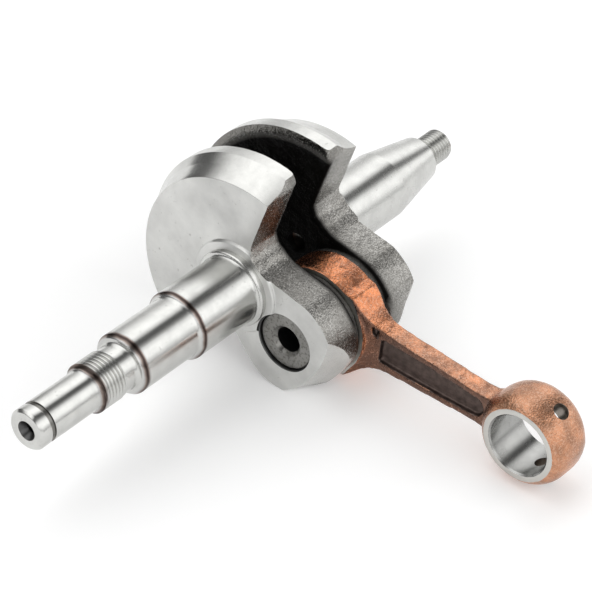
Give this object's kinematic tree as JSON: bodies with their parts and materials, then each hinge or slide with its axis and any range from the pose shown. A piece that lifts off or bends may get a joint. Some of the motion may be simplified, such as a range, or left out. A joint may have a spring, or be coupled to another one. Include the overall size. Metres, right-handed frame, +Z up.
{
  "type": "engine crankshaft with connecting rod",
  "caption": "Built-up two-stroke engine crankshaft with stepped shafts, counterweighted webs, hollow crank pin and copper-plated connecting rod on a needle bearing.",
  "frame": {"origin": "centre of the bounding box in plan, at the floor the part lies on", "axes": "+X along the shaft toward the flywheel taper, -Y from the crank pin toward the small end of the rod, +Z up"},
  "size_m": [0.1474, 0.1156, 0.0525],
  "materials": {
    "turned_steel": "satin turned faces and polished journals, rough forged flanks",
    "ground_steel": "hardened and ground, mottled grey end faces",
    "copper_plating": "matte copper plating on a steel forging, ground steel side faces and bore",
    "cage_steel": "plain steel cage",
    "bearing_steel": "polished bearing steel"
  },
  "bodies": {
    "crank": {"clutch_side_crank_half": "turned_steel", "flywheel_side_crank_half": "turned_steel", "crank_pin": "ground_steel"},
    "rod": {"connecting_rod": "copper_plating"},
    "cage": {"big_end_needle_cage": "cage_steel"},
    "roller_01": {"needle_roller_01": "bearing_steel"},
    "roller_02": {"needle_roller_02": "bearing_steel"},
    "roller_03": {"needle_roller_03": "bearing_steel"},
    "roller_04": {"needle_roller_04": "bearing_steel"},
    "roller_05": {"needle_roller_05": "bearing_steel"},
    "roller_06": {"needle_roller_06": "bearing_steel"},
    "roller_07": {"needle_roller_07": "bearing_steel"},
    "roller_08": {"needle_roller_08": "bearing_steel"},
    "roller_09": {"needle_roller_09": "bearing_steel"},
    "roller_10": {"needle_roller_10": "bearing_steel"},
    "roller_11": {"needle_roller_11": "bearing_steel"},
    "roller_12": {"needle_roller_12": "bearing_steel"},
    "roller_13": {"needle_roller_13": "bearing_steel"},
    "roller_14": {"needle_roller_14": "bearing_steel"},
    "roller_15": {"needle_roller_15": "bearing_steel"}
  },
  "joints": [
    {"name": "big_end_swing", "type": "hinge", "parent": "crank", "child": "rod", "pos_m": [0.01125, 0.01249, 0.01378], "axis": [1, 0, 0], "continuous": true},
    {"name": "cage_turn", "type": "hinge", "parent": "crank", "child": "cage", "pos_m": [0.01125, 0.01249, 0.01378], "axis": [1, 0, 0], "continuous": true},
    {"name": "roller_01_spin", "type": "hinge", "parent": "cage", "child": "roller_01", "pos_m": [0.01125, 0.00609, 0.00816], "axis": [1, 0, 0], "continuous": true},
    {"name": "roller_02_spin", "type": "hinge", "parent": "cage", "child": "roller_02", "pos_m": [0.01125, 0.00893, 0.00605], "axis": [1, 0, 0], "continuous": true},
    {"name": "roller_03_spin", "type": "hinge", "parent": "cage", "child": "roller_03", "pos_m": [0.01125, 0.01239, 0.00527], "axis": [1, 0, 0], "continuous": true},
    {"name": "roller_04_spin", "type": "hinge", "parent": "cage", "child": "roller_04", "pos_m": [0.01125, 0.01586, 0.00596], "axis": [1, 0, 0], "continuous": true},
    {"name": "roller_05_spin", "type": "hinge", "parent": "cage", "child": "roller_05", "pos_m": [0.01125, 0.01875, 0.00801], "axis": [1, 0, 0], "continuous": true},
    {"name": "roller_06_spin", "type": "hinge", "parent": "cage", "child": "roller_06", "pos_m": [0.01125, 0.02055, 0.01106], "axis": [1, 0, 0], "continuous": true},
    {"name": "roller_07_spin", "type": "hinge", "parent": "cage", "child": "roller_07", "pos_m": [0.01125, 0.02097, 0.01457], "axis": [1, 0, 0], "continuous": true},
    {"name": "roller_08_spin", "type": "hinge", "parent": "cage", "child": "roller_08", "pos_m": [0.01125, 0.01991, 0.01795], "axis": [1, 0, 0], "continuous": true},
    {"name": "roller_09_spin", "type": "hinge", "parent": "cage", "child": "roller_09", "pos_m": [0.01125, 0.01757, 0.02061], "axis": [1, 0, 0], "continuous": true},
    {"name": "roller_10_spin", "type": "hinge", "parent": "cage", "child": "roller_10", "pos_m": [0.01125, 0.01436, 0.02209], "axis": [1, 0, 0], "continuous": true},
    {"name": "roller_11_spin", "type": "hinge", "parent": "cage", "child": "roller_11", "pos_m": [0.01125, 0.01082, 0.02213], "axis": [1, 0, 0], "continuous": true},
    {"name": "roller_12_spin", "type": "hinge", "parent": "cage", "child": "roller_12", "pos_m": [0.01125, 0.00757, 0.02073], "axis": [1, 0, 0], "continuous": true},
    {"name": "roller_13_spin", "type": "hinge", "parent": "cage", "child": "roller_13", "pos_m": [0.01125, 0.00517, 0.01813], "axis": [1, 0, 0], "continuous": true},
    {"name": "roller_14_spin", "type": "hinge", "parent": "cage", "child": "roller_14", "pos_m": [0.01125, 0.00403, 0.01477], "axis": [1, 0, 0], "continuous": true},
    {"name": "roller_15_spin", "type": "hinge", "parent": "cage", "child": "roller_15", "pos_m": [0.01125, 0.00436, 0.01125], "axis": [1, 0, 0], "continuous": true}
  ],
  "couplings": [
    {"joint": "cage_turn", "follows": "big_end_swing", "ratio": 0.5734},
    {"joint": "roller_01_spin", "follows": "big_end_swing", "ratio": 3.3326},
    {"joint": "roller_02_spin", "follows": "big_end_swing", "ratio": 3.3326},
    {"joint": "roller_03_spin", "follows": "big_end_swing", "ratio": 3.3326},
    {"joint": "roller_04_spin", "follows": "big_end_swing", "ratio": 3.3326},
    {"joint": "roller_05_spin", "follows": "big_end_swing", "ratio": 3.3326},
    {"joint": "roller_06_spin", "follows": "big_end_swing", "ratio": 3.3326},
    {"joint": "roller_07_spin", "follows": "big_end_swing", "ratio": 3.3326},
    {"joint": "roller_08_spin", "follows": "big_end_swing", "ratio": 3.3326},
    {"joint": "roller_09_spin", "follows": "big_end_swing", "ratio": 3.3326},
    {"joint": "roller_10_spin", "follows": "big_end_swing", "ratio": 3.3326},
    {"joint": "roller_11_spin", "follows": "big_end_swing", "ratio": 3.3326},
    {"joint": "roller_12_spin", "follows": "big_end_swing", "ratio": 3.3326},
    {"joint": "roller_13_spin", "follows": "big_end_swing", "ratio": 3.3326},
    {"joint": "roller_14_spin", "follows": "big_end_swing", "ratio": 3.3326},
    {"joint": "roller_15_spin", "follows": "big_end_swing", "ratio": 3.3326}
  ]
}
